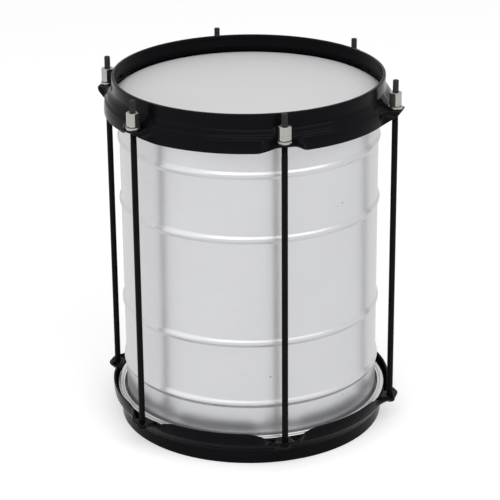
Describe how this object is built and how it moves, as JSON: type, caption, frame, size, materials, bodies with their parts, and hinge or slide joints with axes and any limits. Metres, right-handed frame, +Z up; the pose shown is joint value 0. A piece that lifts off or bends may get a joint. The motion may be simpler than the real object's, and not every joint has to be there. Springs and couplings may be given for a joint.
{
  "type": "repinique drum",
  "caption": "Repinique drum with a beaded aluminium shell, plain white heads, black pressed steel hoops, long tension rods and tall hexagon nuts.",
  "frame": {"origin": "centre of the drum at the floor, on the plane of the lower rim", "axes": "+Z up the drum's axis from the lower rim to the batter head; -Y towards the first tension rod; rods follow every 60 degrees, counter-clockwise from above"},
  "size_m": [0.282, 0.3076, 0.361],
  "materials": {
    "shell_aluminium": "satin polished sheet with fine brushing and small pits",
    "hoop_paint": "satin to gloss black paint on pressed steel",
    "head_film": "smooth milky polyester film",
    "ring_aluminium": "plain light grey metal ring",
    "rod_black": "black coated steel",
    "nickel": "nickel plated steel, slightly warm"
  },
  "bodies": {
    "drum": {"shell": "shell_aluminium", "top_hoop": "hoop_paint", "bottom_hoop": "hoop_paint", "batter_film": "head_film", "resonant_film": "head_film", "batter_flesh_hoop": "ring_aluminium", "resonant_flesh_hoop": "ring_aluminium", "tension_rod_1": "rod_black", "tension_rod_2": "rod_black", "tension_rod_3": "rod_black", "tension_rod_4": "rod_black", "tension_rod_5": "rod_black", "tension_rod_6": "rod_black"},
    "washer_1": {"washer_1": "nickel"},
    "nut_1": {"tension_nut_1": "nickel"},
    "washer_2": {"washer_2": "nickel"},
    "nut_2": {"tension_nut_2": "nickel"},
    "washer_3": {"washer_3": "nickel"},
    "nut_3": {"tension_nut_3": "nickel"},
    "washer_4": {"washer_4": "nickel"},
    "nut_4": {"tension_nut_4": "nickel"},
    "washer_5": {"washer_5": "nickel"},
    "nut_5": {"tension_nut_5": "nickel"},
    "washer_6": {"washer_6": "nickel"},
    "nut_6": {"tension_nut_6": "nickel"}
  },
  "joints": [
    {"name": "nut_1_travel", "type": "slide", "parent": "drum", "child": "washer_1", "axis": [0, 0, 1], "range_m": [0, 0.012]},
    {"name": "nut_1_turn", "type": "hinge", "parent": "washer_1", "child": "nut_1", "pos_m": [0, -0.1463, 0.3447], "axis": [0, 0, 1], "range_deg": [0, 4320]},
    {"name": "nut_2_travel", "type": "slide", "parent": "drum", "child": "washer_2", "axis": [0, 0, 1], "range_m": [0, 0.012]},
    {"name": "nut_2_turn", "type": "hinge", "parent": "washer_2", "child": "nut_2", "pos_m": [0.1267, -0.07315, 0.3447], "axis": [0, 0, 1], "range_deg": [0, 4320]},
    {"name": "nut_3_travel", "type": "slide", "parent": "drum", "child": "washer_3", "axis": [0, 0, 1], "range_m": [0, 0.012]},
    {"name": "nut_3_turn", "type": "hinge", "parent": "washer_3", "child": "nut_3", "pos_m": [0.1267, 0.07315, 0.3447], "axis": [0, 0, 1], "range_deg": [0, 4320]},
    {"name": "nut_4_travel", "type": "slide", "parent": "drum", "child": "washer_4", "axis": [0, 0, 1], "range_m": [0, 0.012]},
    {"name": "nut_4_turn", "type": "hinge", "parent": "washer_4", "child": "nut_4", "pos_m": [0, 0.1463, 0.3447], "axis": [0, 0, 1], "range_deg": [0, 4320]},
    {"name": "nut_5_travel", "type": "slide", "parent": "drum", "child": "washer_5", "axis": [0, 0, 1], "range_m": [0, 0.012]},
    {"name": "nut_5_turn", "type": "hinge", "parent": "washer_5", "child": "nut_5", "pos_m": [-0.1267, 0.07315, 0.3447], "axis": [0, 0, 1], "range_deg": [0, 4320]},
    {"name": "nut_6_travel", "type": "slide", "parent": "drum", "child": "washer_6", "axis": [0, 0, 1], "range_m": [0, 0.012]},
    {"name": "nut_6_turn", "type": "hinge", "parent": "washer_6", "child": "nut_6", "pos_m": [-0.1267, -0.07315, 0.3447], "axis": [0, 0, 1], "range_deg": [0, 4320]}
  ],
  "couplings": [
    {"joint": "nut_1_travel", "follows": "nut_1_turn", "m_per_rad": 0.00015915},
    {"joint": "nut_2_travel", "follows": "nut_2_turn", "m_per_rad": 0.00015915},
    {"joint": "nut_3_travel", "follows": "nut_3_turn", "m_per_rad": 0.00015915},
    {"joint": "nut_4_travel", "follows": "nut_4_turn", "m_per_rad": 0.00015915},
    {"joint": "nut_5_travel", "follows": "nut_5_turn", "m_per_rad": 0.00015915},
    {"joint": "nut_6_travel", "follows": "nut_6_turn", "m_per_rad": 0.00015915}
  ]
}
